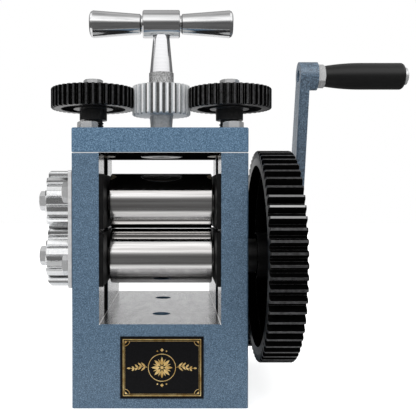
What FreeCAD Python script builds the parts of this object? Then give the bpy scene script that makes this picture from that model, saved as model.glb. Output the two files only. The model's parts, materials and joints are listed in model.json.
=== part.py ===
"""Jewellers' rolling mill: two flat rolls in a cast frame, screwed down through a geared
T-handle and driven by a crank through a reduction gear.

Millimetres. +X points to the crank, -Y to the front, +Z up. The origin is the middle of the
two bench-bolt holes, on the underside of the base.
"""
import FreeCAD, Part
import math
import os

Vec = FreeCAD.Vector

# ---- frame casting ----
cheek_thickness = 19.0
cheek_depth = 95.0
base_depth = 165.0
floor_height = 59.0
floor_thickness = 14.0
base_wall = 12.0
core_corner = 10.0
rail_height = 17.0
rail_sweep = 34.0
casting_edge = 1.5
bench_hole_d = 13.0
bench_hole_spacing = 80.0
bench_boss_d = 28.0

# ---- top plate ----
plate_thickness = 17.5
plate_edge = 0.8
plate_bolt_inset = 14.0

# ---- rolls ----
roll_d = 41.7
roll_length = 76.2
roll_side_gap = 1.4
roll_edge = 0.6
roll_gap = 0.15
roll_travel = 4.0
lower_axis_z = 102.8
journal_d = 18.0
shoulder_d = 25.0

# ---- bearing blocks ----
slot_width = 28.0
slot_relief = 6.0
flange_thickness = 3.0
block_below_axis = 17.8
block_above_axis = 19.15
block_gap = 2.6
bush_wall = 2.0
window_above_block = 14.7
thrust_pad_d = 16.0
thrust_pad_thickness = 4.0
thrust_pad_depth = 3.0
spring_pocket_d = 7.0
spring_pocket_depth = 5.0
spring_coil_d = 5.4
spring_wire_d = 1.0
spring_turns = 4.0

# ---- keeper plate on the left cheek ----
keeper_thickness = 2.5
keeper_inset = 1.0
keeper_bolt_inset = 12.0
keeper_bolt_spread = 51.6

# ---- roll pinions ----
roll_pinion_teeth = 12
roll_pinion_width = 18.8
roll_pinion_gap = 2.0
pinion_seat_d = 16.0
pinion_counterbore = 0.6
pinion_washer = 2.8
roll_pinion_addendum = 0.68
pinion_edge = 1.2

# ---- drive gears ----
drive_module = 2.5
big_gear_teeth = 62
big_gear_width = 25.5
big_gear_standoff = 10.5
big_gear_rim = 5.5
big_gear_web = 9.5
big_gear_hub_d = 26.0
big_gear_boss_d = 35.0
gear_seat_d = 17.0
drive_pinion_teeth = 16
drive_pinion_overlap = 2.0
drive_pinion_hub_d = 28.0
drive_pinion_angle = 40.6
drive_centre_clearance = 0.15

# ---- crank ----
drive_shaft_d = 18.0
drive_seat_d = 16.0
drive_boss_d = 34.0
drive_boss_length = 35.5
collar_d = 27.0
collar_width = 8.0
collar_relief = 1.25
crank_length = 210.6
crank_lean = 9.0
crank_thickness = 8.0
crank_root_width = 31.0
crank_end_width = 21.5
crank_hub_d = 34.0
crank_offset = 9.3
crank_set_out = 5.4
crank_hub_gap = 1.6
crank_square = 12.0
crank_edge = 1.2
crank_screw_d = 18.0
crank_screw_head = 3.2
crank_socket = 5.0
handle_boss_d = 23.0
handle_boss_length = 15.0

# ---- handle grip ----
grip_spindle_d = 10.0
grip_length = 65.0
grip_start_d = 17.0
grip_d = 21.7
grip_swell = 28.0
grip_bow = 0.72
grip_head_d = 14.0
grip_head = 3.6

# ---- screwdown ----
screw_d = 14.0
screw_gear_teeth = 41
screw_gear_thickness = 15.5
screw_gear_height = 18.5
screw_gear_rim = 5.0
screw_gear_recess = 4.0
screw_gear_disc_d = 30.0
screw_gear_hub_d = 20.8
screw_gear_hub = 8.5
screw_top_d = 12.0
screw_nut_flange_d = 33.4
screw_nut_flange = 4.0
screw_nut_d = 22.0
screw_nut_side = 1.4         # plate left whole outside the flat of a nut
spindle_pinion_teeth = 28
spindle_pinion_thickness = 22.3
spindle_pinion_height = 13.6
spindle_journal_d = 14.0
spindle_bush_d = 20.0
sleeve_foot_d = 16.0
sleeve_head_d = 17.8
knurl_d = 18.8
knurl_height = 10.0
taper_low_d = 17.6
taper_high_d = 12.2
tenon_d = 9.0
bar_height = 83.3
bar_length = 108.6
bar_end_d = 20.5
bar_neck_d = 15.2
bar_hub_d = 21.0
bar_hub_length = 28.2
bar_groove = 1.2
end_ring_d = 31.0
end_ring = 4.6
end_ring_proud = 0.6
end_screw_d = 13.6
end_screw_head = 3.6

# ---- hexagon fasteners: across flats, head height, shank ----
m8_flats = 13.0
m8_head = 5.3
m8_d = 8.0
m10_flats = 17.0
m10_head = 6.2
m10_d = 10.0
washer_thickness = 1.6
bolt_length = 22.0
end_bolt_length = 16.0

# ---- keys ----
key_width = 5.0
key_height = 5.0
key_length = 14.0

# ---- clearances and tooth form ----
running = 0.05
seated = 0.02
side_gap = 0.25
pressure_angle = 20.0
stub_addendum = 0.7
root_clearance = 0.25
tooth_backlash = 0.3

# ---- places worked out from the sizes above ----
flange_x = roll_length / 2 + roll_side_gap
inner_x = flange_x + flange_thickness
half_width = inner_x + cheek_thickness
cheek_x = half_width - cheek_thickness / 2
front_y = -base_depth / 2
cheek_back_y = front_y + cheek_depth
roll_y = front_y + cheek_depth / 2
closed_centres = roll_d
upper_axis_z = lower_axis_z + closed_centres + roll_gap
block_split_z = (lower_axis_z + upper_axis_z) / 2
lower_block_bottom = lower_axis_z - block_below_axis
lower_block_top = block_split_z - block_gap / 2
upper_block_bottom = block_split_z + block_gap / 2
upper_block_top = upper_axis_z + block_above_axis
cheek_top = upper_block_top + window_above_block
plate_top = cheek_top + plate_thickness
bush_d = journal_d + 2 * bush_wall
bench_hole_y = bench_hole_spacing / 2

big_gear_x = half_width + big_gear_standoff
big_gear_r = drive_module * big_gear_teeth / 2
drive_pinion_r = drive_module * drive_pinion_teeth / 2
drive_centres = big_gear_r + drive_pinion_r + drive_centre_clearance
drive_y = roll_y + drive_centres * math.cos(math.radians(drive_pinion_angle))
drive_z = lower_axis_z - drive_centres * math.sin(math.radians(drive_pinion_angle))
drive_boss_x = half_width - drive_boss_length
drive_pinion_x = big_gear_x - drive_pinion_overlap
drive_pinion_end = big_gear_x + big_gear_width + drive_pinion_overlap
crank_hub_x = drive_pinion_end + crank_hub_gap
crank_x = big_gear_x + big_gear_width + crank_offset
crank_face_x = crank_x + crank_thickness
handle_boss_x = crank_x + crank_set_out
lock_nut_x = handle_boss_x + handle_boss_length
grip_x = lock_nut_x + m10_head + side_gap
grip_end_x = grip_x + grip_length
crank_lean_rad = math.radians(crank_lean)
handle_y = drive_y - crank_length * math.sin(crank_lean_rad)
handle_z = drive_z + crank_length * math.cos(crank_lean_rad)

screw_gear_module = 2 * cheek_x / (screw_gear_teeth + spindle_pinion_teeth)
screw_gear_z = plate_top + screw_gear_height
spindle_pinion_z = plate_top + spindle_pinion_height
knurl_z = spindle_pinion_z + spindle_pinion_thickness
bar_z = plate_top + bar_height
end_ring_z = cheek_top - end_ring_proud
spindle_foot_z = end_ring_z + end_ring
ring_pocket_top = spindle_foot_z + side_gap
keeper_bottom = lower_block_bottom - keeper_inset
keeper_top = upper_block_top + keeper_thickness
keeper_mid_z = (keeper_bottom + keeper_top) / 2


# ---- solids from plain words ----
def box(x0, x1, y0, y1, z0, z1):
    return Part.makeBox(x1 - x0, y1 - y0, z1 - z0, Vec(x0, y0, z0))


def rod_x(diameter, x0, x1, y, z):
    return Part.makeCylinder(diameter / 2, x1 - x0, Vec(x0, y, z), Vec(1, 0, 0))


def rod_z(diameter, z0, z1, x, y):
    return Part.makeCylinder(diameter / 2, z1 - z0, Vec(x, y, z0))


def turned(profile, place, axis):
    """A turned piece from (distance along the axis, radius) points, closed along the axis."""
    points = [Vec(profile[0][0], 0, 0)]
    points += [Vec(along, radius, 0) for along, radius in profile]
    points += [Vec(profile[-1][0], 0, 0), Vec(profile[0][0], 0, 0)]
    solid = Part.Face(Part.makePolygon(points)).revolve(Vec(0, 0, 0), Vec(1, 0, 0), 360)
    if axis == "z":
        solid.rotate(Vec(0, 0, 0), Vec(0, 1, 0), -90)
    solid.translate(Vec(*place))
    return solid


def hexagon(flats, height):
    """A hexagonal prism on the XY plane, with its corners chamfered on top."""
    corner = flats / math.sqrt(3)
    points = [Vec(corner * math.cos(math.radians(60 * i)), corner * math.sin(math.radians(60 * i)), 0)
              for i in range(7)]
    prism = Part.Face(Part.makePolygon(points)).extrude(Vec(0, 0, height))
    fall = (corner - flats / 2) * math.tan(math.radians(30))
    dome = turned([(0, corner), (height - fall, corner), (height, flats / 2)], (0, 0, 0), "z")
    return prism.common(dome)


def to_x(solid, x, y, z, direction=1):
    """Lays a piece built along +Z along the X axis and puts it in place."""
    solid.rotate(Vec(0, 0, 0), Vec(0, 1, 0), 90 * direction)
    solid.translate(Vec(x, y, z))
    return solid


def hex_bolt(flats, head, shank_d, length):
    """A hexagon bolt whose head stands on the XY plane and whose shank points down."""
    return hexagon(flats, head).fuse(rod_z(shank_d, -length, 0, 0, 0)).removeSplitter()


def washer(outer_d, inner_d, thickness):
    return rod_z(outer_d, 0, thickness, 0, 0).cut(rod_z(inner_d, 0, thickness, 0, 0))


def compound_or_solid(shapes):
    return shapes[0] if len(shapes) == 1 else Part.makeCompound(shapes)


def save(node, *shapes):
    solids = [solid for shape in shapes for solid in shape.Solids]
    compound_or_solid(solids).exportStep(f"parts/{node}.step")


def mirrored_x(shape):
    return shape.mirror(Vec(0, 0, 0), Vec(1, 0, 0))


# ---- gears ----
def involute(angle):
    return math.tan(angle) - angle


def tooth_half_angle(radius, pitch_r, base_r, thickness):
    """Half the angle that a tooth takes at this radius; the flank runs straight below the base."""
    pitch_roll = math.acos(base_r / pitch_r)
    roll = math.acos(min(1.0, base_r / radius))
    return thickness / (2 * pitch_r) + involute(pitch_roll) - involute(roll)


def gear_blank(teeth, module, tip_r, root_r, height, phase, flank_steps, backlash=tooth_backlash):
    """A toothed disc on the XY plane, with one tooth centred at the phase angle in degrees."""
    pitch_r = module * teeth / 2
    base_r = pitch_r * math.cos(math.radians(pressure_angle))
    thickness = math.pi * module / 2 - backlash
    start_r = max(root_r, base_r)
    radii = [start_r + (tip_r - start_r) * i / flank_steps for i in range(flank_steps + 1)]
    if root_r < base_r:
        radii.insert(0, root_r)
    points = []
    for tooth in range(teeth):
        middle = math.radians(phase) + 2 * math.pi * tooth / teeth
        rising = [(r, middle - tooth_half_angle(r, pitch_r, base_r, thickness)) for r in radii]
        falling = [(r, 2 * middle - a) for r, a in reversed(rising)]
        points += [Vec(r * math.cos(a), r * math.sin(a), 0) for r, a in rising + falling]
    points.append(points[0])
    return Part.Face(Part.makePolygon(points)).extrude(Vec(0, 0, height))


def chamfered(blank, tip_r, height, chamfer):
    """Takes the tooth ends down at both faces, as a lathe does before the teeth are cut."""
    low_r = tip_r - chamfer
    limit = turned([(0, low_r), (chamfer, tip_r + seated), (height - chamfer, tip_r + seated),
                    (height, low_r)], (0, 0, 0), "z")
    return blank.common(limit)


def key_block(x, length, y, seat_top_z):
    """A parallel key along X, half sunk in the shaft and half in the hub."""
    return box(x, x + length, y - key_width / 2, y + key_width / 2,
               seat_top_z - key_height / 2, seat_top_z + key_height / 2)


def key_slot(x, length, y, seat_top_z):
    """The space that a key takes in its shaft or hub."""
    half = key_width / 2 + seated
    rise = key_height / 2 + seated
    return box(x - seated, x + length + seated, y - half, y + half, seat_top_z - rise, seat_top_z + rise)


# ---- frame ----
def cheek_side(x):
    """One cheek and the low rail behind it, from the floor up, as an extruded side profile."""
    rail_top = floor_height + rail_height
    sweep_y = cheek_back_y + rail_sweep
    sweep_z = rail_top + rail_sweep
    middle = Vec(x, sweep_y - rail_sweep * math.cos(math.pi / 4),
                 sweep_z - rail_sweep * math.sin(math.pi / 4))
    back_y = -front_y
    corners = [Vec(x, sweep_y, rail_top), Vec(x, back_y, rail_top), Vec(x, back_y, 0),
               Vec(x, front_y, 0), Vec(x, front_y, cheek_top), Vec(x, cheek_back_y, cheek_top),
               Vec(x, cheek_back_y, sweep_z)]
    edges = [Part.LineSegment(a, b).toShape() for a, b in zip(corners, corners[1:])]
    edges.append(Part.Arc(corners[-1], middle, corners[0]).toShape())
    return Part.Face(Part.Wire(edges)).extrude(Vec(cheek_thickness, 0, 0))


def base_core():
    """The hollow under the floor, open to the bench."""
    core = box(-half_width + base_wall, half_width - base_wall, front_y + base_wall,
               -front_y - base_wall, 0, floor_height - floor_thickness)
    uprights = [e for e in core.Edges if abs(e.Vertexes[0].Z - e.Vertexes[-1].Z) > 1]
    return core.makeFillet(core_corner, uprights)


def plate_bolt_places():
    ys = (front_y + plate_bolt_inset, cheek_back_y - plate_bolt_inset)
    return [(x, y) for x in (-cheek_x, cheek_x) for y in ys]


def keeper_bolt_places():
    ys = (front_y + keeper_bolt_inset, cheek_back_y - keeper_bolt_inset)
    zs = (keeper_mid_z - keeper_bolt_spread / 2, keeper_mid_z + keeper_bolt_spread / 2)
    return [(y, z) for y in ys for z in zs]


def frame_casting():
    base = box(-half_width, half_width, front_y, -front_y, 0, floor_height)
    body = base.fuse([cheek_side(-half_width), cheek_side(inner_x)]).removeSplitter()
    outer = []
    for edge in body.Edges:
        one, two = edge.Vertexes[0].Point, edge.Vertexes[-1].Point
        upright = abs(one.x - two.x) < 0.01 and abs(one.y - two.y) < 0.01 and abs(one.z - two.z) > 1
        on_side = abs(abs(one.x) - half_width) < 0.01 and abs(one.y - cheek_back_y) > 0.01
        if upright and on_side and one.z + two.z > 1:
            outer.append(edge)
    body = body.makeFillet(casting_edge, outer)
    bosses = [rod_z(bench_boss_d, 0, floor_height - floor_thickness / 2, 0, side * bench_hole_y)
              for side in (-1, 1)]
    drive_boss = rod_x(drive_boss_d, drive_boss_x, half_width - base_wall / 2, drive_y, drive_z)
    body = body.cut(base_core()).fuse(bosses + [drive_boss]).removeSplitter()
    cuts = [rod_z(bench_hole_d, 0, floor_height, 0, side * bench_hole_y) for side in (-1, 1)]
    cuts.append(rod_x(drive_shaft_d + 2 * bush_wall, drive_boss_x, half_width, drive_y, drive_z))
    relief_x = drive_boss_x - collar_width - collar_relief
    cuts.append(rod_x(collar_d + 2 * collar_relief, relief_x, drive_boss_x, drive_y, drive_z))
    half_slot = slot_width / 2
    for x0 in (-half_width, inner_x):
        cuts.append(box(x0, x0 + cheek_thickness, roll_y - half_slot, roll_y + half_slot,
                        lower_block_bottom, cheek_top))
        relief_x0 = x0 if x0 > 0 else -inner_x - slot_relief
        cuts.append(box(relief_x0, relief_x0 + slot_relief, roll_y - half_slot, roll_y + half_slot,
                        floor_height, lower_block_bottom))
    shank = m8_d + 2 * seated
    cuts += [rod_z(shank, plate_top - bolt_length - side_gap, cheek_top, x, y)
             for x, y in plate_bolt_places()]
    cuts += [rod_x(shank, -half_width, -half_width - keeper_thickness + end_bolt_length + side_gap, y, z)
             for y, z in keeper_bolt_places()]
    return body.cut(cuts)


def top_plate():
    plate = box(-half_width, half_width, front_y, cheek_back_y, cheek_top, plate_top)
    plate = plate.makeChamfer(plate_edge, plate.Edges)
    cuts = [rod_z(m8_d + 2 * seated, cheek_top, plate_top, x, y) for x, y in plate_bolt_places()]
    cuts.append(rod_z(spindle_bush_d + 2 * seated, cheek_top, plate_top, 0, roll_y))
    cuts.append(rod_z(end_ring_d + 4 * side_gap, cheek_top, ring_pocket_top, 0, roll_y))
    for x in (-cheek_x, cheek_x):
        pocket = rod_z(screw_nut_d + 2 * seated, cheek_top, plate_top, x, roll_y)
        pocket = pocket.fuse(rod_z(screw_nut_flange_d + 2 * seated, cheek_top,
                                   cheek_top + screw_nut_flange + seated, x, roll_y))
        cuts.append(pocket.common(nut_room(seated)).removeSplitter())
    return plate.cut(cuts)


def plate_bolts():
    bolts = []
    for x, y in plate_bolt_places():
        bolt = hex_bolt(m8_flats, m8_head, m8_d, bolt_length)
        bolt.translate(Vec(x, y, plate_top))
        bolts.append(bolt)
    return bolts


def nut_room(gap):
    """The space inside the plate's sides: it gives a nut the outer flat that stops it from turning."""
    side = half_width - screw_nut_side + gap
    return box(-side, side, front_y, cheek_back_y, cheek_top, plate_top)


def screw_nut(x):
    """The flanged bronze nut that a pressure screw turns in; its flange bears on the plate."""
    nut = rod_z(screw_nut_flange_d, cheek_top, cheek_top + screw_nut_flange, x, roll_y)
    nut = nut.fuse(rod_z(screw_nut_d, cheek_top, plate_top, x, roll_y)).removeSplitter()
    nut = nut.common(nut_room(0)).removeSplitter()
    return nut.cut(rod_z(screw_d + 2 * running, cheek_top, plate_top, x, roll_y))


def spindle_bush():
    bush = rod_z(spindle_bush_d, ring_pocket_top, plate_top, 0, roll_y)
    return bush.cut(rod_z(spindle_journal_d + 2 * running, ring_pocket_top, plate_top, 0, roll_y))


def keeper_plate():
    """The plate that holds the left blocks in; the upper hole is long, for the roll's travel."""
    x0 = -half_width - keeper_thickness
    plate = box(x0, -half_width, front_y, cheek_back_y, keeper_bottom, keeper_top)
    corners = [e for e in plate.Edges if abs(e.Vertexes[0].X - e.Vertexes[-1].X) > 1]
    plate = plate.makeFillet(casting_edge, corners)
    hole_d = journal_d + 2 * bush_wall
    cuts = [rod_x(hole_d, x0, -half_width, roll_y, lower_axis_z)]
    for z in (upper_axis_z, upper_axis_z + roll_travel):
        cuts.append(rod_x(hole_d, x0, -half_width, roll_y, z))
    cuts.append(box(x0, -half_width, roll_y - hole_d / 2, roll_y + hole_d / 2,
                    upper_axis_z, upper_axis_z + roll_travel))
    cuts += [rod_x(m8_d + 2 * seated, x0, -half_width, y, z) for y, z in keeper_bolt_places()]
    return plate.cut(cuts)


def keeper_bolts():
    x = -half_width - keeper_thickness
    return [to_x(hex_bolt(m8_flats, m8_head, m8_d, end_bolt_length), x, y, z, -1)
            for y, z in keeper_bolt_places()]


# ---- bearing blocks ----
def bearing_block(side, axis_z, bottom, top, upper):
    """A block that fills the cheek's slot, with a thin flange flat on the inner wall."""
    half_slot = slot_width / 2 - running
    block = box(inner_x, half_width, roll_y - half_slot, roll_y + half_slot, bottom, top)
    flange = box(flange_x, inner_x, front_y, cheek_back_y, bottom, top)
    block = block.fuse(flange).removeSplitter()
    cuts = [rod_x(bush_d + 2 * seated, flange_x, half_width, roll_y, axis_z)]
    if upper:
        cuts.append(rod_z(thrust_pad_d + 2 * seated, top - thrust_pad_depth, top, cheek_x, roll_y))
        cuts.append(rod_z(spring_pocket_d, bottom, bottom + spring_pocket_depth, cheek_x, roll_y))
    else:
        cuts.append(rod_z(spring_pocket_d, top - spring_pocket_depth, top, cheek_x, roll_y))
    block = block.cut(cuts)
    return block if side > 0 else mirrored_x(block)


def journal_bush(side, axis_z):
    bush = rod_x(bush_d, flange_x, half_width, roll_y, axis_z)
    bush = bush.cut(rod_x(journal_d + 2 * running, flange_x, half_width, roll_y, axis_z))
    return bush if side > 0 else mirrored_x(bush)


def thrust_pad(side):
    z0 = upper_block_top - thrust_pad_depth
    return rod_z(thrust_pad_d, z0, z0 + thrust_pad_thickness, side * cheek_x, roll_y)


def lift_spring(side):
    """The coil spring between the blocks that lifts the upper roll as the screws back off."""
    bottom = lower_block_top - spring_pocket_depth + spring_wire_d / 2 + side_gap
    top = upper_block_bottom + spring_pocket_depth - spring_wire_d / 2 - side_gap
    mean_r = (spring_coil_d - spring_wire_d) / 2
    path = Part.makeHelix((top - bottom) / spring_turns, top - bottom, mean_r)
    wire_points = [Vec(mean_r + spring_wire_d / 2 * math.cos(math.pi * i / 3), 0,
                       spring_wire_d / 2 * math.sin(math.pi * i / 3)) for i in range(7)]
    spring = Part.Wire(path).makePipeShell([Part.makePolygon(wire_points)], True, True)
    spring.translate(Vec(side * cheek_x, roll_y, bottom))
    return spring


# ---- rolls ----
def roll_pinion_left():
    return -half_width - keeper_thickness - roll_pinion_gap - roll_pinion_width


def roll_body(axis_z, right_end, right_seat_d):
    """A roll ground in one piece with its shoulders, journals and gear seats."""
    half = roll_length / 2
    seat_right = -half_width - keeper_thickness - roll_pinion_gap / 2
    seat_left = roll_pinion_left() + pinion_counterbore + seated
    shoulder = flange_x - side_gap
    r_seat, r_journal, r_shoulder = pinion_seat_d / 2, journal_d / 2, shoulder_d / 2
    profile = [(seat_left, r_seat), (seat_right, r_seat), (seat_right, r_journal),
               (-shoulder, r_journal), (-shoulder, r_shoulder), (-half, r_shoulder),
               (-half, roll_d / 2 - roll_edge), (roll_edge - half, roll_d / 2),
               (half - roll_edge, roll_d / 2), (half, roll_d / 2 - roll_edge),
               (half, r_shoulder), (shoulder, r_shoulder), (shoulder, r_journal),
               (half_width, r_journal)]
    if right_end > half_width:
        profile += [(half_width, right_seat_d / 2), (right_end, right_seat_d / 2)]
    return turned(profile, (0, roll_y, axis_z), "x")


def roll_key_x():
    return roll_pinion_left() + roll_pinion_width / 2 - key_length / 2


def pinion_bolt_bore(axis_z):
    x = roll_pinion_left() + pinion_counterbore
    return rod_x(m8_d + 2 * seated, x, x + end_bolt_length + side_gap, roll_y, axis_z)


def upper_roll():
    roll = roll_body(upper_axis_z, half_width, 0)
    seat_top = upper_axis_z + pinion_seat_d / 2
    return roll.cut([key_slot(roll_key_x(), key_length, roll_y, seat_top), pinion_bolt_bore(upper_axis_z)])


def gear_hub_end():
    return big_gear_x + big_gear_width


def lower_roll():
    roll = roll_body(lower_axis_z, gear_hub_end() - seated, gear_seat_d)
    key_x = big_gear_x + big_gear_width / 2 - key_length / 2
    end_x = gear_hub_end() - end_bolt_length - side_gap
    cuts = [key_slot(roll_key_x(), key_length, roll_y, lower_axis_z + pinion_seat_d / 2),
            key_slot(key_x, key_length, roll_y, lower_axis_z + gear_seat_d / 2),
            pinion_bolt_bore(lower_axis_z),
            rod_x(m10_d + 2 * seated, end_x, gear_hub_end(), roll_y, lower_axis_z)]
    return roll.cut(cuts)


def roll_pinion(axis_z, phase):
    """A long-toothed pinion: it stays in mesh while the rolls close and open."""
    module = closed_centres / roll_pinion_teeth
    tip_r = closed_centres / 2 + roll_pinion_addendum * module
    root_r = closed_centres - tip_r - root_clearance
    pinion = gear_blank(roll_pinion_teeth, module, tip_r, root_r, roll_pinion_width, phase, 4)
    pinion = chamfered(pinion, tip_r, roll_pinion_width, pinion_edge)
    pinion = to_x(pinion, roll_pinion_left(), roll_y, axis_z)
    seat_d = pinion_seat_d + 2 * seated
    left = roll_pinion_left()
    cuts = [rod_x(seat_d, left, left + roll_pinion_width, roll_y, axis_z),
            rod_x(m8_flats + 2 * bush_wall + 3 * washer_thickness, left, left + pinion_counterbore,
                  roll_y, axis_z),
            key_slot(roll_key_x(), key_length, roll_y, axis_z + pinion_seat_d / 2)]
    return pinion.cut(cuts)


def pinion_bolt(axis_z):
    """The hexagon bolt and washer that hold a pinion on its roll."""
    x = roll_pinion_left() + pinion_counterbore
    ring = washer(m8_flats + 2 * bush_wall + washer_thickness, m8_d + 2 * seated, pinion_washer)
    bolt = hex_bolt(m8_flats, m8_head, m8_d, end_bolt_length + pinion_washer - 2 * side_gap)
    return to_x(ring, x, roll_y, axis_z, -1), to_x(bolt, x - pinion_washer, roll_y, axis_z, -1)


def big_gear():
    """The drive gear: a toothed rim, a thin web and a stepped hub that reaches the frame."""
    tip_r = big_gear_r + drive_module
    root_r = big_gear_r - (1 + root_clearance) * drive_module
    tooth_at = 90 - drive_pinion_angle
    gear = gear_blank(big_gear_teeth, drive_module, tip_r, root_r, big_gear_width, tooth_at, 2)
    gear = to_x(chamfered(gear, tip_r, big_gear_width, 1.0), big_gear_x, roll_y, lower_axis_z)
    recess_d = 2 * (root_r - big_gear_rim)
    recess = (big_gear_width - big_gear_web) / 2
    for x0 in (big_gear_x, big_gear_x + big_gear_width - recess):
        ring = rod_x(recess_d, x0, x0 + recess, roll_y, lower_axis_z)
        gear = gear.cut(ring.cut(rod_x(big_gear_boss_d, x0, x0 + recess, roll_y, lower_axis_z)))
    hub = rod_x(big_gear_hub_d, half_width + side_gap, big_gear_x, roll_y, lower_axis_z)
    gear = gear.fuse(hub).removeSplitter()
    key_x = big_gear_x + big_gear_width / 2 - key_length / 2
    return gear.cut([rod_x(gear_seat_d + 2 * seated, half_width, gear_hub_end(), roll_y, lower_axis_z),
                     key_slot(key_x, key_length, roll_y, lower_axis_z + gear_seat_d / 2)])


def big_gear_bolt():
    ring = washer(big_gear_hub_d, m10_d + 2 * seated, washer_thickness)
    bolt = hex_bolt(m10_flats, m10_head, m10_d, end_bolt_length - side_gap)
    x = gear_hub_end()
    return to_x(ring, x, roll_y, lower_axis_z), to_x(bolt, x + washer_thickness, roll_y, lower_axis_z)


# ---- crank drive ----
def drive_shaft():
    """The crank shaft: journal in the base, keyed seat for the pinion, square for the arm."""
    inner_end = drive_boss_x - side_gap - collar_width
    square_end = crank_screw_x() - side_gap
    profile = [(inner_end, drive_shaft_d / 2), (half_width + side_gap, drive_shaft_d / 2),
               (half_width + side_gap, drive_seat_d / 2 + seated),
               (crank_hub_x, drive_seat_d / 2 + seated)]
    shaft = turned(profile, (0, drive_y, drive_z), "x")
    half = crank_square / 2
    square = box(crank_hub_x, square_end, drive_y - half, drive_y + half, drive_z - half, drive_z + half)
    square.rotate(Vec(0, drive_y, drive_z), Vec(1, 0, 0), crank_lean)
    bore_x = square_end - end_bolt_length
    shaft = shaft.fuse(square).removeSplitter()
    shaft = shaft.cut(rod_x(m8_d + 2 * seated, bore_x, square_end, drive_y, drive_z))
    key_x = (drive_pinion_x + drive_pinion_end - key_length) / 2
    return shaft.cut(key_slot(key_x, key_length, drive_y, drive_z + drive_seat_d / 2))


def drive_bush(x0, x1):
    bush = rod_x(drive_shaft_d + 2 * bush_wall - 2 * seated, x0, x1, drive_y, drive_z)
    return bush.cut(rod_x(drive_shaft_d + 2 * running, x0, x1, drive_y, drive_z))


def shaft_collar():
    """The collar inside the base that keeps the shaft from pulling out, and its grub screw."""
    x1 = drive_boss_x - side_gap
    x0 = x1 - collar_width
    collar = rod_x(collar_d, x0, x1, drive_y, drive_z)
    collar = collar.cut(rod_x(drive_shaft_d + 2 * seated, x0, x1, drive_y, drive_z))
    middle = (x0 + x1) / 2
    hole = rod_z(key_width, drive_z - collar_d / 2, drive_z - drive_shaft_d / 2, middle, drive_y)
    screw = rod_z(key_width - 2 * seated, drive_z - collar_d / 2 + side_gap,
                  drive_z - drive_shaft_d / 2 - 4 * seated, middle, drive_y)
    return collar.cut(hole), screw


def drive_pinion():
    tip_r = drive_pinion_r + drive_module
    root_r = drive_pinion_r - (1 + root_clearance) * drive_module
    length = drive_pinion_end - drive_pinion_x
    gap_phase = 270 - drive_pinion_angle + 180 / drive_pinion_teeth
    pinion = gear_blank(drive_pinion_teeth, drive_module, tip_r, root_r, length, gap_phase, 3)
    pinion = to_x(chamfered(pinion, tip_r, length, 1.0), drive_pinion_x, drive_y, drive_z)
    hub = rod_x(drive_pinion_hub_d, half_width + 2 * side_gap, drive_pinion_x, drive_y, drive_z)
    pinion = pinion.fuse(hub).removeSplitter()
    key_x = (drive_pinion_x + drive_pinion_end - key_length) / 2
    bore = rod_x(drive_seat_d + 4 * seated, half_width, drive_pinion_end, drive_y, drive_z)
    return pinion.cut([bore, key_slot(key_x, key_length, drive_y, drive_z + drive_seat_d / 2)])


def crank_arm():
    """The cast arm: a tapered blade, set out from its hub on the shaft to the handle's boss."""
    root, tip = crank_root_width / 2, crank_end_width / 2
    outline = [Vec(0, -root, 0), Vec(0, root, 0), Vec(0, tip, crank_length), Vec(0, -tip, crank_length)]
    reach = crank_thickness + crank_set_out
    blade = Part.Face(Part.makePolygon(outline + outline[:1])).extrude(Vec(reach, 0, 0))
    slant = [Vec(0, -root, 0), Vec(crank_thickness, -root, 0), Vec(reach, -root, crank_length),
             Vec(crank_set_out, -root, crank_length)]
    blade = blade.common(Part.Face(Part.makePolygon(slant + slant[:1])).extrude(Vec(0, 2 * root, 0)))
    long_edges = [e for e in blade.Edges if abs(e.Vertexes[0].Z - e.Vertexes[-1].Z) > crank_length / 2]
    blade = blade.makeFillet(crank_edge, long_edges)
    blade.translate(Vec(crank_x, 0, 0))
    hub = rod_x(crank_hub_d, crank_hub_x, crank_face_x, 0, 0)
    hub = hub.makeChamfer(crank_edge, hub.Edges[2])
    boss = rod_x(handle_boss_d, handle_boss_x, lock_nut_x, 0, crank_length)
    arm = blade.fuse([hub, boss]).removeSplitter()
    half = crank_square / 2 + seated
    arm = arm.cut([box(crank_hub_x, crank_face_x, -half, half, -half, half),
                   rod_x(crank_screw_d + 2 * side_gap, crank_screw_x(), crank_x + 2 * reach, 0, 0),
                   rod_x(grip_spindle_d + 2 * seated, crank_x, lock_nut_x, 0, crank_length)])
    arm.translate(Vec(0, drive_y, drive_z))
    arm.rotate(Vec(0, drive_y, drive_z), Vec(1, 0, 0), crank_lean)
    return arm


def crank_screw_x():
    """The floor of the arm's counterbore: the screw's head lies in it, flush with the arm."""
    return crank_face_x - crank_screw_head - side_gap


def crank_screw():
    head = rod_z(crank_screw_d, 0, crank_screw_head, 0, 0)
    head = head.makeChamfer(crank_screw_head / 4, head.Edges[0])
    socket = hexagon(crank_socket, crank_screw_head)
    socket.translate(Vec(0, 0, crank_screw_head / 3))
    screw = head.fuse(rod_z(m8_d, 2 * side_gap - end_bolt_length, 0, 0, 0)).removeSplitter().cut(socket)
    return to_x(screw, crank_screw_x(), drive_y, drive_z)


def grip_spindle():
    """The long bolt that the grip turns on, screwed through the boss and locked by its nut."""
    start = handle_boss_x + 2 * bush_wall
    edge = grip_head / 3
    profile = [(start, grip_spindle_d / 2), (grip_end_x + side_gap, grip_spindle_d / 2),
               (grip_end_x + side_gap, grip_head_d / 2),
               (grip_end_x + grip_head - edge, grip_head_d / 2),
               (grip_end_x + grip_head, grip_head_d / 2 - 2 * edge)]
    return turned(profile, (0, handle_y, handle_z), "x")


def grip_lock_nut():
    nut = hexagon(m10_flats, m10_head).cut(rod_z(grip_spindle_d + 2 * seated, 0, m10_head, 0, 0))
    return to_x(nut, lock_nut_x, handle_y, handle_z)


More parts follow.
